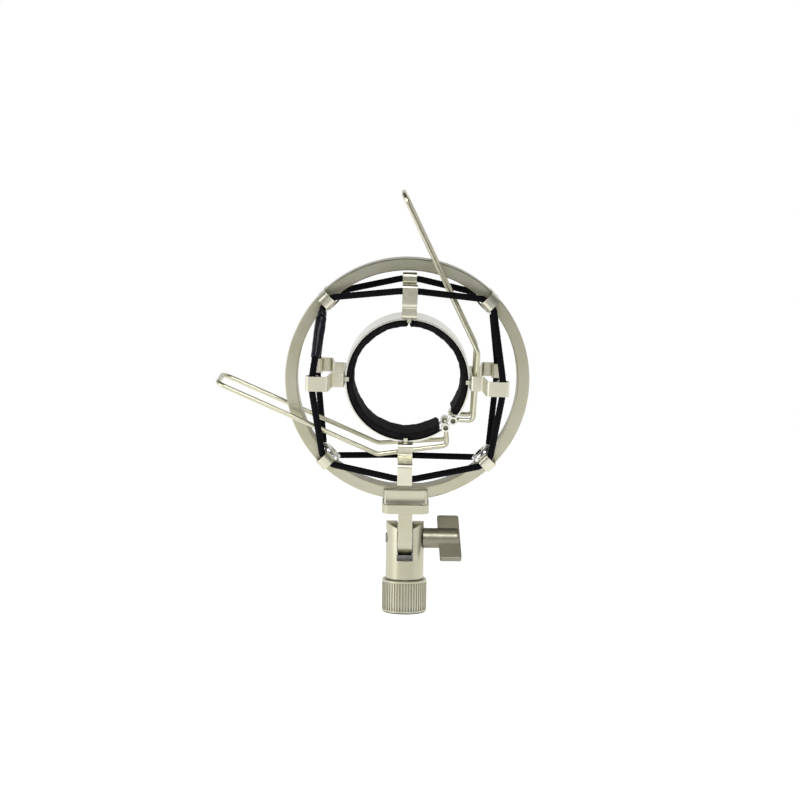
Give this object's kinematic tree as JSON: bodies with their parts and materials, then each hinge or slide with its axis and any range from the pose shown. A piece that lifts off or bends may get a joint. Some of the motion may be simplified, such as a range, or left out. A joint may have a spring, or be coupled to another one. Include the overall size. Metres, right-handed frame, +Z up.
{
  "type": "microphone shock mount",
  "caption": "Cat's-cradle shock mount: a sprung, foam-lined clamp ring hung on elastic loops in an outer ring, on a tilting fork with a threaded stand collar.",
  "frame": {"origin": "centre of the stand collar's lower face, at the mouth of its stand thread", "axes": "+Z up along the stem, +X towards the thumb screw, -Y towards the front of the ring"},
  "size_m": [0.1471, 0.07, 0.2014],
  "materials": {
    "satin_stem": "satin champagne nickel plate",
    "satin_knob": "satin champagne nickel plate",
    "satin_ring": "satin champagne nickel plate, fine tumbled grain",
    "satin_strip": "satin nickel-plated spring strip",
    "polished_band": "semi-bright nickel-plated spring strip",
    "chrome_rivets": "bright chrome",
    "spring_wire": "bright nickel-plated spring wire",
    "zinc_fasteners": "zinc plate",
    "nylon": "natural nylon",
    "elastic_cord": "black braided sheath over rubber strands",
    "heat_shrink": "shrunk black tube, glossy",
    "foam_rubber": "dark fine-celled foam rubber"
  },
  "bodies": {
    "stand_collar": {"knurled_collar": "satin_stem"},
    "fork": {"fork_stem": "satin_stem", "retaining_circlip": "zinc_fasteners", "swivel_washer": "zinc_fasteners", "pivot_nut": "zinc_fasteners", "friction_washers": "nylon"},
    "thumb_screw": {"thumb_screw": "satin_knob"},
    "head": {"tilt_tongue": "satin_stem", "saddle_block": "satin_stem", "block_screws": "zinc_fasteners", "outer_ring": "satin_ring", "outer_hook_upper_right": "satin_strip", "outer_hook_upper_left": "satin_strip", "outer_hook_lower_left": "satin_strip", "outer_hook_lower_right": "satin_strip", "hook_rivets": "chrome_rivets", "front_elastic_loop": "elastic_cord", "rear_elastic_loop": "elastic_cord", "splice_sleeve": "heat_shrink"},
    "cradle": {"clamp_band": "polished_band", "foam_lining_left": "foam_rubber", "foam_lining_right": "foam_rubber", "inner_bracket_right": "satin_strip", "inner_bracket_top": "satin_strip", "inner_bracket_left": "satin_strip", "inner_bracket_bottom": "satin_strip", "bracket_rivets": "chrome_rivets"},
    "lower_lever": {"lower_lever": "spring_wire"},
    "upper_lever": {"upper_lever": "spring_wire"}
  },
  "joints": [
    {"name": "collar_turn", "type": "hinge", "parent": "stand_collar", "child": "fork", "pos_m": [0, 0, 0.0161], "axis": [0, 0, 1], "continuous": true},
    {"name": "thumb_screw_turn", "type": "hinge", "parent": "fork", "child": "thumb_screw", "pos_m": [0, 0, 0.0355], "axis": [1, 0, 0], "range_deg": [0, 270]},
    {"name": "tilt", "type": "hinge", "parent": "fork", "child": "head", "pos_m": [0, 0, 0.0355], "axis": [1, 0, 0], "range_deg": [-96.5, 83.5]},
    {"name": "cradle_float", "type": "slide", "parent": "head", "child": "cradle", "axis": [0, -0.1132, 0.9936], "range_m": [-0.0015, 0.004], "stiffness_N_per_m": 900, "springref_m": 0.0009, "deforming": ["front_elastic_loop", "rear_elastic_loop", "splice_sleeve"]},
    {"name": "lower_lever_squeeze", "type": "hinge", "parent": "cradle", "child": "lower_lever", "pos_m": [0.01828, -0.00637, 0.09138], "axis": [0, 0.9936, 0.1132], "range_deg": [0, 4]},
    {"name": "upper_lever_squeeze", "type": "hinge", "parent": "cradle", "child": "upper_lever", "pos_m": [0.02167, -0.00674, 0.09465], "axis": [0, -0.9936, -0.1132], "range_deg": [-1.5, 1.5]}
  ]
}
